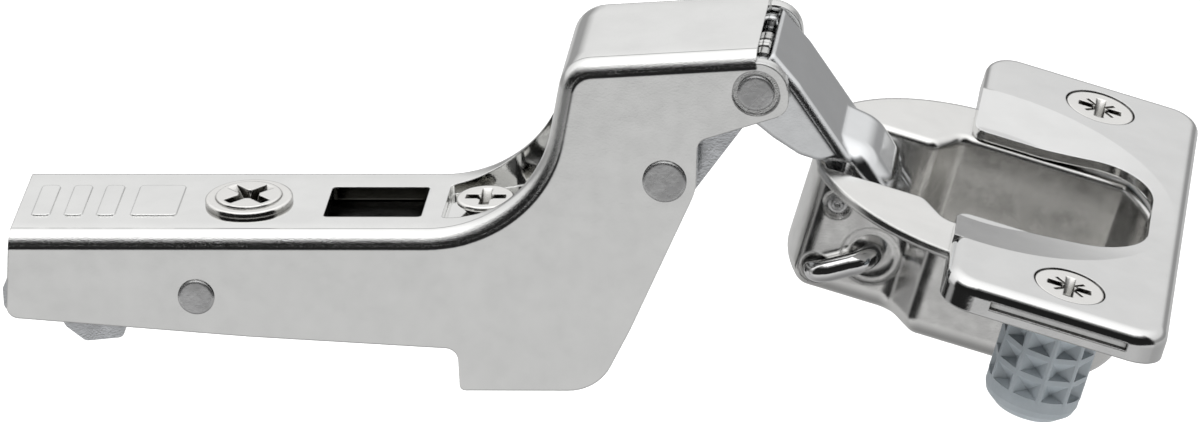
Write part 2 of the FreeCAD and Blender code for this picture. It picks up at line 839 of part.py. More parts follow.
def flange_plate():
    """Wide cover plate with two raised wings and an opening over the tub."""
    body = plate_xy(flange_outline(0), -flange_thickness, 0)
    body = rounded(body, flange_edge_rounding, lambda e: e.BoundBox.ZMin > -1e-3)
    hollow = plate_xy(flange_outline(flange_sheet), -flange_thickness - 1, -flange_sheet)
    for side in (-1, 1):
        post = rod_z(screw_u, side * screw_spacing / 2, dowel_radius, -flange_thickness - 1, 0)
        hollow = hollow.cut(post)
    body = body.cut(hollow)
    dish_low = opening_half + 1.0
    dish = Part.makeCone(dish_low, wing_arc_radius, opening_rim_drop, Vector(0, 0, -opening_rim_drop))
    dish = dish.fuse(rod_z(0, 0, wing_arc_radius, 0, 1))
    body = body.cut(dish)
    under_low = -opening_rim_drop - flange_sheet
    skin = Part.makeCone(dish_low, wing_arc_radius, opening_rim_drop, Vector(0, 0, under_low))
    skin = skin.fuse(rod_z(0, 0, wing_arc_radius, -flange_sheet, 0))
    skin = skin.cut(dish).common(plate_xy(flange_outline(0), -flange_thickness, 0))
    body = body.fuse(skin)
    collar_space = rod_z(0, 0, collar_radius + running_clearance, -flange_thickness - 1, collar_top)
    body = body.cut(collar_space)
    left = flange_left - 1
    opening = plate_xy(
        [
            (left, -opening_half, 0),
            (opening_right, -opening_half, opening_corner),
            (opening_right, opening_half, opening_corner),
            (left, opening_half, 0),
        ],
        -flange_thickness - 1,
        1,
    )
    body = body.cut(opening)
    body = body.cut([opening_corner_cut(side) for side in (-1, 1)])
    for side in (-1, 1):
        body = body.cut(screw_space(side))
        body = body.cut(end_slot(side))
    return from_cup(body.removeSplitter())


def opening_corner_cut(side):
    """Cutter that rounds the corner between the opening and the flange's straight edge."""
    radius = opening_left_rounding
    edge_v = opening_half
    u = flange_left + radius
    v = edge_v + radius
    corner = block(flange_left - 1, u, edge_v - 1, v, -flange_thickness - 1, 1)
    corner = corner.cut(rod_z(u, v, radius, -flange_thickness - 2, 2))
    if side < 0:
        return corner.mirror(Vector(0, 0, 0), Y_AXIS)
    return corner


def screw_space(side):
    """Countersunk seat and shank hole for one flange screw."""
    v = side * screw_spacing / 2
    wide = screw_head_radius + screw_seat_clearance
    shank = screw_shank_radius + screw_seat_clearance
    cone = Part.makeCone(shank, wide, screw_head_height, Vector(screw_u, v, -screw_head_height - 0.15))
    mouth = rod_z(screw_u, v, wide, -0.15, 1)
    hole = rod_z(screw_u, v, shank, -flange_thickness - 1, 0)
    return cone.fuse([mouth, hole])


def end_slot(side):
    """Long shallow slot in the flange's end wall."""
    outer = side * flange_half
    low = min(outer, outer - side * slot_depth) - (0.5 if side < 0 else 0)
    high = max(outer, outer - side * slot_depth) + (0.5 if side > 0 else 0)
    half = slot_length / 2
    return block(slot_u - half, slot_u + half, low, high, slot_h - slot_height / 2, slot_h + slot_height / 2)


def flange_screw(side):
    """Countersunk screw with a cross recess, run into its dowel."""
    low = Vector(0, 0, -screw_head_height)
    head = Part.makeCone(screw_shank_radius, screw_head_radius, screw_head_height, low)
    shank = rod_z(0, 0, screw_shank_radius, -screw_length, -screw_head_height)
    body = head.fuse(shank).removeSplitter()
    body = body.cut(cross_recess(recess_cross_length, recess_cross_width, recess_cross_depth, 0))
    body = body.cut(star_recess(0))
    body.translate(Vector(screw_u, side * screw_spacing / 2, -0.1))
    return from_cup(body)


def dowel(side):
    """Plastic press-in dowel with rows of pockets and a smooth tapered end."""
    top = -flange_thickness
    low = top - dowel_length
    body = rod_z(0, 0, dowel_radius, low + dowel_taper_length, top)
    tip = Part.makeCone(dowel_radius - dowel_taper, dowel_radius, dowel_taper_length, Vector(0, 0, low))
    body = body.fuse(tip)
    field = dowel_length - dowel_taper_length - dowel_neck
    row = field / dowel_rows
    core = dowel_radius - dowel_pocket_depth
    turn = 360.0 / dowel_columns
    cutters = []
    for index in range(dowel_rows):
        z1 = top - dowel_neck - index * row
        z0 = z1 - row + dowel_rib
        ring = rod_z(0, 0, dowel_radius + 1, z0, z1).cut(rod_z(0, 0, core, z0, z1))
        for column in range(dowel_columns):
            wall = block(0, dowel_radius + 1, -dowel_rib / 2, dowel_rib / 2, z0, z1)
            wall.rotate(Vector(0, 0, 0), Z_AXIS, column * turn)
            ring = ring.cut(wall)
        cutters.append(ring)
    body = body.cut(cutters[0].fuse(cutters[1:]))
    body = body.cut(rod_z(0, 0, screw_shank_radius, -screw_length - 0.3, top + 1))
    body.translate(Vector(screw_u, side * screw_spacing / 2, 0))
    return from_cup(body)


def clip_carrier():
    """Inner channel that clips on the mounting plate."""
    half = carrier_half
    inside = half - carrier_sheet
    side = [
        (carrier_rear, carrier_top, 1.0),
        (carrier_rear, 1.6, 0.5),
        (carrier_rear + 2.4, 0.0, 0.5),
        (carrier_tongue_x - carrier_step - carrier_step_run, 0.0, 0.5),
        (carrier_tongue_x - carrier_step, carrier_tongue_low, 0.5),
        (carrier_front, carrier_tongue_low, 0.8),
        (carrier_front, carrier_tongue_top, 0.8),
        (carrier_tongue_x, carrier_tongue_top, 0.5),
        (carrier_tongue_x, carrier_top, 1.4),
    ]
    body = plate_xz(side, -half, half)
    hollow = [
        (carrier_rear - 5, carrier_top - carrier_sheet, 0),
        (carrier_rear - 5, -10, 0),
        (carrier_tongue_x - carrier_front_wall, -10, 0),
        (carrier_tongue_x - carrier_front_wall, carrier_top - carrier_sheet, 0.4),
    ]
    body = body.cut(plate_xz(hollow, -inside, inside))
    tongue_half = side_screw_shank_radius + 1.4
    for sign in (-1, 1):
        low = min(sign * tongue_half, sign * (half + 1))
        high = max(sign * tongue_half, sign * (half + 1))
        body = body.cut(block(carrier_tongue_x, carrier_front + 1, low, high, -1, carrier_top + 1))
    for sign in (-1, 1):
        low = min(sign * inside, sign * (inside - carrier_foot))
        high = max(sign * inside, sign * (inside - carrier_foot))
        body = body.fuse(block(carrier_seat_rear, carrier_seat_front, low, high, 0, carrier_sheet))
    body = body.fuse(block(-carrier_strap, carrier_strap, -inside, inside, 0, carrier_sheet))
    travel = 2 * carrier_slide
    slot_half = rear_pin_radius + carrier_gap
    slot = rectangle(rear_pin_x, rear_pin_z, travel + 2 * slot_half, 2 * slot_half, slot_half - 0.01)
    body = body.cut(plate_xz(slot, -half - 1, half + 1))
    cam_length = 2 * (cam_disc_radius + cam_slot_gap)
    cam_width = 2 * (cam_throw + cam_disc_radius + cam_slot_gap)
    cam_slot = rectangle(cam_x, 0, cam_length, cam_width, cam_disc_radius)
    body = body.cut(plate_xy(cam_slot, carrier_top - carrier_sheet - 1, carrier_top + 1))
    neck = side_screw_shank_radius + carrier_gap
    screw_slot = rectangle(side_screw_x, 0, travel + 2 * neck, 2 * neck, neck - 0.01)
    body = body.cut(plate_xy(screw_slot, -1, carrier_top + 1))
    body = body.cut(rod_y(lever_pin_x, lever_pin_z, lever_pin_radius, -half - 1, half + 1))
    return body.removeSplitter()


def latch_pin():
    return rod_y(lever_pin_x, lever_pin_z, lever_pin_radius, -carrier_half, carrier_half)


def latch_lever():
    """Release lever: a button behind the arm and a hook under it."""
    half = lever_half
    outline = [
        (lever_button_x, 3.4, 0.8),
        (lever_button_x, 0.3, 0.8),
        (lever_pin_x - 2.4, 0.2, 0.6),
        (lever_pin_x - 1.6, lever_hook_z + 1.6, 0.6),
        (lever_pin_x + 0.3, lever_hook_z, 0.8),
        (lever_hook_x, lever_hook_z + 0.4, 0.8),
        (lever_hook_x + 0.6, lever_hook_z + 2.8, 0.5),
        (lever_pin_x + 2.2, 1.6, 0.6),
        (lever_pin_x + 2.2, lever_pin_z + 1.9, 1.6),
        (lever_pin_x - 2.0, lever_pin_z + 1.9, 1.6),
        (lever_pin_x - 3.4, 3.6, 0.8),
    ]
    body = plate_xz(outline, -half, half)
    inside = half - lever_sheet
    gap_rear = lever_pin_x - lever_gap_rear
    gap_low = lever_pin_z - lever_gap_low
    body = body.cut(block(gap_rear, lever_hook_x + 5, -inside, inside, gap_low, lever_pin_z + 5))
    hole = lever_pin_radius + running_clearance
    return body.cut(rod_y(lever_pin_x, lever_pin_z, hole, -half - 1, half + 1))


def latch_spring():
    """Small coil round the lever's pin."""
    mean = lever_pin_radius + spring_gap + latch_spring_wire / 2
    half = lever_half - lever_sheet - 0.4 - latch_spring_wire / 2
    helix = Part.makeHelix(2 * half / latch_spring_turns, 2 * half, mean)
    profile = Part.Wire(Part.makeCircle(latch_spring_wire / 2, Vector(mean, 0, 0), Y_AXIS))
    coil = Part.Wire(helix.Edges).makePipeShell([profile], True, True)
    coil.rotate(Vector(0, 0, 0), Vector(1, 0, 0), 90)
    coil.translate(Vector(lever_pin_x, half, lever_pin_z))
    return coil


def depth_cam_screw():
    """Flanged screw in the arm's top with an off-centre disc below."""
    web_low = arm_top - arm_sheet
    flange = rod_z(0, 0, cam_flange_radius, arm_top, arm_top + cam_flange_height)
    flange = rounded(flange, 0.25, lambda e: middle_of(e).z > arm_top + cam_flange_height - 1e-3)
    boss_top = arm_top + cam_flange_height + cam_boss_height
    boss = rod_z(0, 0, cam_boss_radius, arm_top, boss_top)
    boss = rounded(boss, 0.15, lambda e: middle_of(e).z > boss_top - 1e-3)
    shank = rod_z(0, 0, cam_shank_radius, web_low - 0.15, arm_top)
    disc = rod_z(0, -cam_throw, cam_disc_radius, web_low - 0.15 - cam_disc_height, web_low - 0.15)
    body = flange.fuse([boss, shank, disc]).removeSplitter()
    cross = cross_recess(cam_cross_length, cam_cross_width, cam_cross_depth, boss_top)
    cross.rotate(Vector(0, 0, 0), Z_AXIS, cam_cross_turn)
    body = body.cut(cross)
    body.translate(Vector(cam_x, 0, 0))
    return body


def side_screw():
    """Flat-headed screw sunk in the dent at the foot of the crank."""
    rim_low = side_screw_top - side_screw_rim
    seat = dent_floor_z + running_clearance
    rim = rod_z(0, 0, side_screw_head_radius, rim_low, side_screw_top)
    rim = rounded(rim, side_screw_rim * 0.6, lambda e: middle_of(e).z > side_screw_top - 1e-3)
    slope = rim_low - seat
    cone = Part.makeCone(side_screw_head_radius - slope, side_screw_head_radius, slope, Vector(0, 0, seat))
    shank = rod_z(0, 0, side_screw_shank_radius, side_screw_low, seat)
    body = rim.fuse([cone, shank]).removeSplitter()
    length = side_screw_cross_length
    body = body.cut(cross_recess(length, side_screw_cross_width, side_screw_cross_depth, side_screw_top))
    body.translate(Vector(side_screw_x, 0, 0))
    return body


def side_screw_nut():
    """Threaded bridge held between the arm's side plates."""
    body = block(
        side_screw_x - nut_half_length,
        side_screw_x + nut_half_length,
        -inner_arm_half,
        inner_arm_half,
        nut_z,
        nut_z + nut_thickness,
    )
    hole = side_screw_shank_radius + running_clearance
    return body.cut(rod_z(side_screw_x, 0, hole, nut_z - 1, nut_z + nut_thickness + 1))


PIECES = {
    "hinge_arm": hinge_arm(),
    "rear_pin": rivet(rear_pin_x, rear_pin_z, rear_pin_radius, rear_head_radius, head_proud, 0),
    "pin_a": rivet(pin_a_x, pin_a_z, pin_a_radius, pin_a_head_radius, head_proud, 0),
    "pin_b": rivet(pin_b_x, pin_b_z, pin_b_radius, pin_b_head_radius, head_proud, pin_b_seat_depth),
    "outer_link": outer_link(),
    "inner_link": inner_link(),
    "closing_spring": closing_spring(),
    "spring_bush_near": pin_bush(near_bush_low_y, near_bush_high_y),
    "spring_bush_far": pin_bush(far_bush_low_y, far_bush_high_y),
    "cup": cup(),
    "u_pin": u_pin(),
    "pin_g": pin_g(),
    "flange_plate": flange_plate(),
    "flange_screw_near": flange_screw(-1),
    "flange_screw_far": flange_screw(1),
    "dowel_near": dowel(-1),
    "dowel_far": dowel(1),
    "clip_carrier": clip_carrier(),
    "latch_pin": latch_pin(),
    "latch_lever": latch_lever(),
    "latch_spring": latch_spring(),
    "depth_cam_screw": depth_cam_screw(),
    "side_screw": side_screw(),
    "side_screw_nut": side_screw_nut(),
}

for name, shape in PIECES.items():
    export(name, shape)
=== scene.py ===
import json
import math

import bmesh
import bpy
from mathutils import Matrix, Vector


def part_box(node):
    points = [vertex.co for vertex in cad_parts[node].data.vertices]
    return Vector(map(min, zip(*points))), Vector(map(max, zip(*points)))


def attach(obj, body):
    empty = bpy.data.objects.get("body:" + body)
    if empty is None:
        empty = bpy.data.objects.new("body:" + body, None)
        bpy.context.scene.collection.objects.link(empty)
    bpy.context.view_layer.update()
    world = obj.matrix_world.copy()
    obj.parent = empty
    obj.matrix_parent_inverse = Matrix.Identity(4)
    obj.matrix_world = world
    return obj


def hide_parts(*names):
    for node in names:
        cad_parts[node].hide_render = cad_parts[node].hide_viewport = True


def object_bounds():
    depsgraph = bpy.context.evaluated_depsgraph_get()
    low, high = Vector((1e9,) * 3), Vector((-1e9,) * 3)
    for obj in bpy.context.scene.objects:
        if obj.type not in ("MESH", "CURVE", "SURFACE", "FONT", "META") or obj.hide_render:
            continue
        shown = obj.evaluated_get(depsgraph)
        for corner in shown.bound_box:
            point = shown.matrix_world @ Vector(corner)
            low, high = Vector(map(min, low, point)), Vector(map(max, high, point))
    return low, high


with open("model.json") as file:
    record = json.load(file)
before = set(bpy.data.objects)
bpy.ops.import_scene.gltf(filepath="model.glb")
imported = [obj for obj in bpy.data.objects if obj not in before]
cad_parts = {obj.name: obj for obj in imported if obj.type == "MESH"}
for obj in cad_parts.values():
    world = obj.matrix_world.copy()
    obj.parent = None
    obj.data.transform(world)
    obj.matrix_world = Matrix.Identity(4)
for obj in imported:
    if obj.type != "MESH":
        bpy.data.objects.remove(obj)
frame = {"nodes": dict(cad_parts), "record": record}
cad_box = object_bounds()
nodes = frame["nodes"]
MM = 0.001


# Cranked arm: a channel folded from bright nickel-plated sheet. The plate is glossy and slightly cloudy,
# and the sheet is rough along its two bends, where folding opened the plating. Its top is a little crowned.

arm_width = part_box("hinge_arm")[1][1] * 2
arm_bend = 1.65 * MM
arm_tone = (0.795, 0.795, 0.785)
edge_reach = 0.22 * MM
grain_start = 0.60
grain_end = 0.01
grain_fade_in = 0.35
grain_fade_out = 0.03
# Painted shade: the near-black tone, and the occlusion level under which the colour of hollows is darkened
# towards it.
painted_shade_tone = (0.10, 0.097, 0.085, 1)
painted_shade_limit = 0.42
cloud_dark = 0.965
cloud_light = 1.01


def new_finish(name, tone, low, high, shade_reach=None):
    """Metal of low to high roughness, with painted shade: its colour darkens in hollows of that size; gives
    finish, tree and shader.
    """
    finish = bpy.data.materials.new(name)
    finish.use_nodes = True
    tree = finish.node_tree
    shader = tree.nodes["Principled BSDF"]
    shader.inputs["Metallic"].default_value = 1.0
    darker = tuple(part * cloud_dark for part in tone) + (1,)
    lighter = tuple(min(part * cloud_light, 1.0) for part in tone) + (1,)
    colour = shade(tree, cloud(tree, 240, 4), darker, lighter)
    # Painted shade: ambient occlusion within that reach darkens the colour towards the painted shade tone
    # in hollows.
    if shade_reach:
        open_sky = tree.nodes.new("ShaderNodeAmbientOcclusion")
        open_sky.samples = 8
        open_sky.inputs["Distance"].default_value = shade_reach
        painted_shade_mix = tree.nodes.new("ShaderNodeMix")
        painted_shade_mix.data_type = "RGBA"
        past_limit = reckon(tree, "SUBTRACT", open_sky.outputs["AO"], painted_shade_limit)
        fade = reckon(tree, "DIVIDE", past_limit, painted_shade_limit)
        fade.node.use_clamp = True
        tree.links.new(fade, painted_shade_mix.inputs[0])
        painted_shade_mix.inputs[6].default_value = painted_shade_tone
        tree.links.new(colour, painted_shade_mix.inputs[7])
        colour = painted_shade_mix.outputs[2]
    tree.links.new(colour, shader.inputs["Base Color"])
    tree.links.new(shade(tree, cloud(tree, 620, 5), grey(low), grey(high)), shader.inputs["Roughness"])
    return finish, tree, shader


def worn_edges(tree, reach):
    """Normal that rounds every edge by that much."""
    edge = tree.nodes.new("ShaderNodeBevel")
    edge.samples = 6
    edge.inputs["Radius"].default_value = reach
    return edge.outputs["Normal"]


def grey(value):
    """One value as a colour."""
    return (value, value, value, 1)


def place(tree, axis):
    """Object coordinate along one axis."""
    source = tree.nodes.new("ShaderNodeTexCoord")
    split = tree.nodes.new("ShaderNodeSeparateXYZ")
    tree.links.new(source.outputs["Object"], split.inputs[0])
    return split.outputs[axis]


def reckon(tree, operation, first, second=0.0):
    """One sum over sockets or values."""
    step = tree.nodes.new("ShaderNodeMath")
    step.operation = operation
    for socket, value in zip(step.inputs, (first, second)):
        if isinstance(value, (int, float)):
            socket.default_value = value
        else:
            tree.links.new(value, socket)
    return step.outputs[0]


def cloud(tree, scale, detail, stretch=(1.0, 1.0, 1.0)):
    """Soft noise over the piece."""
    source = tree.nodes.new("ShaderNodeTexCoord")
    mapping = tree.nodes.new("ShaderNodeMapping")
    mapping.inputs["Scale"].default_value = stretch
    texture = tree.nodes.new("ShaderNodeTexNoise")
    texture.inputs["Scale"].default_value = scale
    texture.inputs["Detail"].default_value = detail
    tree.links.new(source.outputs["Object"], mapping.inputs["Vector"])
    tree.links.new(mapping.outputs["Vector"], texture.inputs["Vector"])
    return texture.outputs["Fac"]


def shade(tree, source, low, high, start=0.35, end=0.65):
    """Colour between low and high over a value."""
    ramp = tree.nodes.new("ShaderNodeValToRGB")
    first, last = ramp.color_ramp.elements
    first.position, last.position = start, end
    first.color, last.color = low, high
    tree.links.new(source, ramp.inputs["Fac"])
    return ramp.outputs["Color"]


def relief(tree, height, depth, strength=1.0, under=None):
    """Bump of that depth in metres for a height from 0 to 1, over an earlier one."""
    step = tree.nodes.new("ShaderNodeBump")
    step.inputs["Strength"].default_value = strength
    step.inputs["Distance"].default_value = depth
    tree.links.new(height, step.inputs["Height"])
    if under is not None:
        tree.links.new(under, step.inputs["Normal"])
    return step.outputs["Normal"]


def band(tree, value, low, high, soft_low, soft_high):
    """1 where value lies between low and high, with soft ends."""
    rise = reckon(tree, "DIVIDE", reckon(tree, "SUBTRACT", value, low), soft_low)
    fall = reckon(tree, "DIVIDE", reckon(tree, "SUBTRACT", high, value), soft_high)
    inside = reckon(tree, "MINIMUM", rise, fall)
    inside.node.use_clamp = True
    return inside


def folded_finish(name, tone, low, high, half, bend, reach):
    """Folded plate: gloss, faint waves, and a rough grain only along bends that end at half width."""
    finish, tree, shader = new_finish(name, tone, low, high)
    across = reckon(tree, "ABSOLUTE", place(tree, "Y"))
    low_side = half - bend * grain_start
    high_side = half - bend * grain_end
    on_bend = band(tree, across, low_side, high_side, bend * grain_fade_in, bend * grain_fade_out)
    torn = reckon(tree, "MULTIPLY", cloud(tree, 11000, 2, (0.8, 1, 1)), on_bend)
    waves = relief(tree, cloud(tree, 120, 2), 0.25 * MM, 0.05, worn_edges(tree, reach))
    grain = relief(tree, cloud(tree, 5200, 2), 0.02 * MM, 0.08, waves)
    rough = relief(tree, torn, 0.06 * MM, 0.60, grain)
    tree.links.new(rough, shader.inputs["Normal"])
    return finish, tree, shader, rough


def paint(finish, *names):
    """Gives CAD nodes a finish."""
    for name in names:
        nodes[name].data.materials.clear()
        nodes[name].data.materials.append(finish)


arm_finish, tree, shader, rough = folded_finish(
    "arm_plate", arm_tone, 0.045, 0.085, arm_width / 2, arm_bend, edge_reach
)
crown_start = 4.85 * MM
crown_end = arm_width / 2 - arm_bend
crown_fall = 19.0
across = reckon(tree, "ABSOLUTE", place(tree, "Y"))
past = reckon(tree, "MAXIMUM", reckon(tree, "SUBTRACT", across, crown_start), 0.0)
past = reckon(tree, "MINIMUM", past, crown_end - crown_start)
sag = reckon(tree, "MULTIPLY", reckon(tree, "MULTIPLY", past, past), -crown_fall)
step_width = 0.12 * MM
step_height = 0.03 * MM
step = reckon(tree, "DIVIDE", reckon(tree, "SUBTRACT", across, crown_end), step_width)
step.node.use_clamp = True
sag = reckon(tree, "ADD", sag, reckon(tree, "MULTIPLY", step, step_height))
tree.links.new(relief(tree, sag, 1.0, 1.0, rough), shader.inputs["Normal"])

# Painted shade: inside the window, below the web, the arm's colour is the near-black painted shade tone,
# standing in for the shadow in the channel under the web.
window_middle = 17.55 * MM
window_length = 9.9 * MM
window_width = 7.6 * MM
web_level = 10.5 * MM
cut_reach = 0.15 * MM
along = reckon(tree, "ABSOLUTE", reckon(tree, "SUBTRACT", place(tree, "X"), window_middle))
in_length = reckon(tree, "LESS_THAN", along, window_length / 2 + cut_reach)
in_width = reckon(tree, "LESS_THAN", across, window_width / 2 + cut_reach)
in_depth = reckon(tree, "LESS_THAN", place(tree, "Z"), web_level - cut_reach)
painted_window_shade = reckon(tree, "MULTIPLY", reckon(tree, "MULTIPLY", in_length, in_width), in_depth)
window_shade_mix = tree.nodes.new("ShaderNodeMix")
window_shade_mix.data_type = "RGBA"
plate = shader.inputs["Base Color"].links[0].from_socket
tree.links.new(painted_window_shade, window_shade_mix.inputs[0])
tree.links.new(plate, window_shade_mix.inputs[6])
window_shade_mix.inputs[7].default_value = painted_shade_tone
tree.links.new(window_shade_mix.outputs[2], shader.inputs["Base Color"])
paint(arm_finish, "hinge_arm")


# Rivets: plain turned steel pins with flat, slightly sunk heads, duller and greyer than the plate.
# They are closed in the arm's side plates, and the smallest one sits in the cup's side wall.

rivet_finish, tree, shader = new_finish("rivet_steel", (0.65, 0.65, 0.65), 0.20, 0.32)
stipple = relief(tree, cloud(tree, 2600, 3), 0.05 * MM, 0.20, worn_edges(tree, 2 * edge_reach))
tree.links.new(stipple, shader.inputs["Normal"])
paint(rivet_finish, "rear_pin", "pin_a", "pin_b", "pin_g", "latch_pin", "side_screw_nut")


# Clip carrier and latch: satin-plated sheet inside the arm's rear end, with the sprung release lever.
# Only the lever's button and hook show behind and below the arm.

satin_tone = (0.74, 0.755, 0.775)
# The carrier and the lever take painted shade: their colour darkens in hollows within 3 mm, the dark inside
# the arm's channel.
for name, shade_reach, pieces in (
    ("carrier_plate", 3 * MM, ("clip_carrier", "latch_lever")),
    ("inner_link_plate", None, ("inner_link",)),
):
    finish, tree, shader = new_finish(name, satin_tone, 0.16, 0.26, shade_reach)
    waves = relief(tree, cloud(tree, 170, 2), 0.30 * MM, 0.10)
    tree.links.new(relief(tree, cloud(tree, 4800, 2), 0.04 * MM, 0.30, waves), shader.inputs["Normal"])
    paint(finish, *pieces)

spring_finish, tree, shader = new_finish("spring_steel", (0.62, 0.62, 0.61), 0.20, 0.30)
tree.links.new(relief(tree, cloud(tree, 3000, 2), 0.04 * MM, 0.30), shader.inputs["Normal"])
paint(spring_finish, "closing_spring", "latch_spring", "spring_bush_near", "spring_bush_far")


# Screws: bright plated heads with cross recesses, polished by the stamping of their rims.
# The wide flat one turns the depth cam, the sunk one tilts the arm, and two hold the cup.

# Painted shade: the screws' colour darkens in hollows within 1.6 mm, such as the cross recesses.
screw_finish, tree, shader = new_finish("screw_plate", (0.80, 0.79, 0.77), 0.10, 0.18, 1.6 * MM)
edges = worn_edges(tree, edge_reach)
tree.links.new(relief(tree, cloud(tree, 2200, 3), 0.04 * MM, 0.20, edges), shader.inputs["Normal"])
paint(screw_finish, "depth_cam_screw", "side_screw", "flange_screw_near", "flange_screw_far")


# Outer link: folded from the same bright sheet as the arm, with rough bends and a curved toe
# that hooks over the small rivet. It turns on the front rivet and on the bent wire.

link_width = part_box("outer_link")[1][1] * 2
link_bend = 1.0 * MM
link_reach = 0.6 * MM
link_tone = (0.77, 0.78, 0.79)
link_finish = folded_finish(
    "outer_link_plate", link_tone, 0.06, 0.11, link_width / 2, link_bend, link_reach
)[0]
paint(link_finish, "outer_link")


# Cup and flange plate: drawn from bright sheet and stamped, then plated together. The drawn tub is
# slightly wavy, and the flange plate is flatter, with the same fine orange-peel grain.

cup_tone = (0.79, 0.785, 0.77)
flange_tone = (0.70, 0.70, 0.695)
# The last column is the reach of painted shade: the flange plate's colour darkens in hollows within 0.7 mm,
# and the cup has none.
cup_finishes = (
    ("cup_plate", "cup", cup_tone, 0.15, 0.24, 2.2, None),
    ("flange_plate", "flange_plate", flange_tone, 0.08, 0.13, 1.0, 0.7 * MM),
)
for name, node, tone, low, high, softness, shade_reach in cup_finishes:
    finish, tree, shader = new_finish(name, tone, low, high, shade_reach)
    waves = relief(tree, cloud(tree, 190, 2), 0.30 * MM, 0.05, worn_edges(tree, edge_reach * softness))
    tree.links.new(relief(tree, cloud(tree, 4600, 3), 0.03 * MM, 0.12, waves), shader.inputs["Normal"])
    paint(finish, node)


# Bent wire: one polished drawn pin with two legs across the cup, pressed into its side walls.
# It carries faint lines along its length from drawing.

wire_finish, tree, shader = new_finish("polished_wire", (0.80, 0.80, 0.80), 0.06, 0.12)
tree.links.new(relief(tree, cloud(tree, 2500, 2, (1, 0.12, 1)), 0.03 * MM, 0.25), shader.inputs["Normal"])
paint(wire_finish, "u_pin")


# Dowels: two grey-blue moulded plastic plugs, pressed into the door. Each is a waffle of ribs round
# pyramid-shaped pockets, with a smooth collar above it and a smooth rounded tip below.

dowel_radius = 4.8 * MM
dowel_columns = 10
dowel_turn = math.radians(8)
dowel_rows = 3
dowel_collar = 0.6 * MM
dowel_tip = 2.6 * MM
dowel_tip_radius = 3.2 * MM
dowel_rib = 0.55 * MM
dowel_pocket = 1.0 * MM
dowel_lean = 0.22
dowel_round = 48

dowel_finish = bpy.data.materials.new("dowel_plastic")
dowel_finish.use_nodes = True
tree = dowel_finish.node_tree
shader = tree.nodes["Principled BSDF"]
tint = shade(tree, cloud(tree, 320, 3), (0.30, 0.335, 0.36, 1), (0.34, 0.375, 0.40, 1))
tree.links.new(tint, shader.inputs["Base Color"])
shader.inputs["Roughness"].default_value = 0.42
tree.links.new(relief(tree, cloud(tree, 3000, 3), 0.05 * MM, 0.35), shader.inputs["Normal"])


def turned(mesh, outline):
    """Adds the closed round solid with that outline of radius and height."""
    points = [mesh.verts.new((radius, 0, height)) for radius, height in outline]
    edges = [mesh.edges.new(pair) for pair in zip(points, points[1:])]
    bmesh.ops.spin(
        mesh,
        geom=points + edges,
        cent=(0, 0, 0),
        axis=(0, 0, 1),
        angle=math.tau,
        steps=dowel_round,
        use_merge=True,
    )
    bmesh.ops.remove_doubles(mesh, verts=mesh.verts, dist=0.01 * MM)


def finished(name, mesh, finish, body, *replaced):
    """Turns a bmesh into a piece that rides on a body and stands for CAD nodes."""
    bmesh.ops.recalc_face_normals(mesh, faces=mesh.faces)
    data = bpy.data.meshes.new(name)
    mesh.to_mesh(data)
    mesh.free()
    data.materials.append(finish)
    piece = bpy.data.objects.new(name, data)
    bpy.context.collection.objects.link(piece)
    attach(piece, body)
    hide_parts(*replaced)


for side in ("near", "far"):
    seat = next(mount for mount in frame["record"]["mounts"] if mount["name"] == "dowel_" + side + "_hole")
    length = seat["dims"]["length_mm"] * MM
    waffle = length - dowel_collar - dowel_tip
    mesh = bmesh.new()
    bmesh.ops.create_cone(
        mesh,
        segments=dowel_columns,
        radius1=dowel_radius,
        radius2=dowel_radius,
        depth=waffle,
        cap_ends=True,
    )
    upright = [edge for edge in mesh.edges if abs(edge.verts[0].co.z - edge.verts[1].co.z) > waffle / 2]
    bmesh.ops.subdivide_edges(mesh, edges=upright, cuts=dowel_rows - 1, use_grid_fill=True)
    walls = [face for face in mesh.faces if abs(face.normal.z) < 0.5]
    bmesh.ops.inset_individual(mesh, faces=walls, thickness=dowel_rib / 2, depth=0, use_even_offset=True)
    deepest = bmesh.ops.poke(mesh, faces=walls, offset=-dowel_pocket)["verts"]
    bmesh.ops.translate(mesh, verts=deepest, vec=(0, 0, -waffle / dowel_rows * dowel_lean))
    bmesh.ops.rotate(mesh, verts=mesh.verts, matrix=Matrix.Rotation(dowel_turn, 3, "Z"))
    bmesh.ops.translate(mesh, verts=mesh.verts, vec=(0, 0, length / 2 - dowel_collar - waffle / 2))
    top = length / 2
    under = top - dowel_collar
    turned(mesh, [(0, top), (dowel_radius, top), (dowel_radius, under), (0, under)])
    bend = under - waffle
    turned(mesh, [
        (0, bend + dowel_collar / 2),
        (dowel_radius * 0.985, bend + dowel_collar / 2),
        (dowel_radius * 0.985, bend - dowel_tip * 0.35),
        (dowel_radius * 0.93, bend - dowel_tip * 0.62),
        (dowel_tip_radius * 1.08, bend - dowel_tip * 0.96),
        (dowel_tip_radius * 0.9, bend - dowel_tip),
        (0, bend - dowel_tip),
    ])
    turn = Vector((0, 0, -1)).rotation_difference(Vector(seat["axis"])).to_matrix().to_4x4()
    bmesh.ops.transform(mesh, verts=mesh.verts, matrix=Matrix.Translation(seat["pos_m"]) @ turn)
    finished("dowel_" + side + "_plug", mesh, dowel_finish, "cup", "dowel_" + side)


# Floor: a plain pale sheet well under the hinge, so that it takes only a faint, wide shadow,
# as the photograph's white ground has none. It isn't seen in the bright metal.

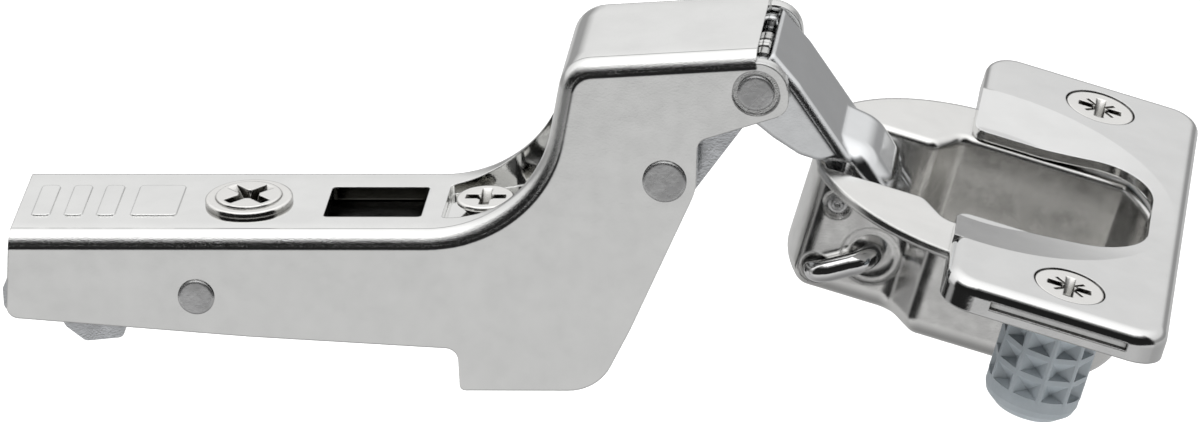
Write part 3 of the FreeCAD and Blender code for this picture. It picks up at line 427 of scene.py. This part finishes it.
floor_drop = 0.10
floor_size = 8
floor_middle = 0.04
bpy.ops.mesh.primitive_plane_add(size=floor_size, location=(floor_middle, 0, cad_box[0][2] - floor_drop))
floor = bpy.context.object
floor.name = "floor"
floor_paint = bpy.data.materials.new("floor_paint")
floor_paint.use_nodes = True
shader = floor_paint.node_tree.nodes["Principled BSDF"]
shader.inputs["Base Color"].default_value = (0.95, 0.95, 0.95, 1)
shader.inputs["Roughness"].default_value = 0.9
shader.inputs["Specular IOR Level"].default_value = 0.1
floor.data.materials.append(floor_paint)
floor.visible_glossy = False


# Studio: a light tent round the hinge, dark only behind the camera from its height up to its roof,
# and dimmer low down behind the hinge. The dark part gives the bends their dark lines.

world = bpy.data.worlds.new("studio")
bpy.context.scene.world = world
world.use_nodes = True
tree = world.node_tree
tree.nodes.clear()
tent_front = [
    (-90, 0.25),
    (-45, 0.50),
    (-30, 0.66),
    (-22.6, 0.69),
    (-19, 0.02),
    (33, 0.015),
    (46, 0.30),
    (54, 1.5),
    (90, 1.5),
]
tent_back = [
    (-90, 0.25),
    (-45, 0.45),
    (-13, 0.60),
    (-8, 0.36),
    (4, 0.38),
    (15, 0.88),
    (25, 0.93),
    (50, 1.25),
    (90, 1.5),
]
front_sharpness = 6.0
front_start = 0.6
steepest = 0.05


def tent_wall(source, stops):
    """Brightness by degrees above the horizon."""
    ramp = tree.nodes.new("ShaderNodeValToRGB")
    ramp.color_ramp.interpolation = "LINEAR"
    elements = ramp.color_ramp.elements
    while len(elements) < len(stops):
        elements.new(0.5)
    for element, (degrees, value) in zip(elements, stops):
        element.position = 0.5 + 0.5 * math.sin(math.radians(degrees))
        element.color = grey(value)
    tree.links.new(source, ramp.inputs["Fac"])
    return ramp.outputs["Color"]


look = tree.nodes.new("ShaderNodeTexCoord")
split = tree.nodes.new("ShaderNodeSeparateXYZ")
tree.links.new(look.outputs["Generated"], split.inputs[0])
along_y = split.outputs["Y"]
along_z = split.outputs["Z"]
height = reckon(tree, "ADD", reckon(tree, "MULTIPLY", along_z, 0.5), 0.5)
flat = reckon(tree, "SQRT", reckon(tree, "SUBTRACT", 1.0001, reckon(tree, "MULTIPLY", along_z, along_z)))
heading = reckon(tree, "DIVIDE", along_y, reckon(tree, "MAXIMUM", flat, steepest))
toward_front = reckon(tree, "SUBTRACT", reckon(tree, "MULTIPLY", heading, -front_sharpness), front_start)
toward_front.node.use_clamp = True
blend = tree.nodes.new("ShaderNodeMix")
blend.data_type = "RGBA"
tree.links.new(toward_front, blend.inputs[0])
tree.links.new(tent_wall(height, tent_back), blend.inputs[6])
tree.links.new(tent_wall(height, tent_front), blend.inputs[7])
background = tree.nodes.new("ShaderNodeBackground")
tree.links.new(blend.outputs[2], background.inputs["Color"])
surround = tree.nodes.new("ShaderNodeOutputWorld")
tree.links.new(background.outputs[0], surround.inputs[0])

lamp = bpy.data.lights.new("overhead", "AREA")
lamp.shape = "RECTANGLE"
lamp.size = 1.4
lamp.size_y = 1.2
lamp.energy = 14
overhead = bpy.data.objects.new("overhead", lamp)
overhead.location = (0.0, -0.1, 1.3)
overhead.visible_glossy = False
bpy.context.collection.objects.link(overhead)


# Camera: the photograph's angle and framing through a long lens, looking down at the near side
# from a little to the left.

azimuth = math.radians(7.456)
elevation = math.radians(23.199)
roll = math.radians(2.897)
target = Vector((40.07, 0.0, 9.5)) * MM
focal_pixels = 10466.0
pixels_per_mm = 9.982
frame_width = 1200.0
sensor = 36.0
level = Vector((math.cos(azimuth), math.sin(azimuth), 0.0))
ahead = Vector((-level.y, level.x, 0.0)) * math.cos(elevation) - Vector((0.0, 0.0, math.sin(elevation)))
upright = level.cross(ahead)
right = level * math.cos(roll) - upright * math.sin(roll)
up = level * math.sin(roll) + upright * math.cos(roll)
lens = bpy.data.cameras.new("camera")
lens.sensor_width = sensor
lens.lens = focal_pixels / frame_width * sensor
lens.clip_start = 0.01
lens.clip_end = 20
camera = bpy.data.objects.new("camera", lens)
distance = focal_pixels / pixels_per_mm * MM
turn = Matrix((right, up, -ahead)).transposed()
camera.matrix_world = Matrix.Translation(target - ahead * distance) @ turn.to_4x4()
bpy.context.collection.objects.link(camera)
bpy.context.scene.camera = camera
bpy.context.scene.view_settings.view_transform = "Standard"
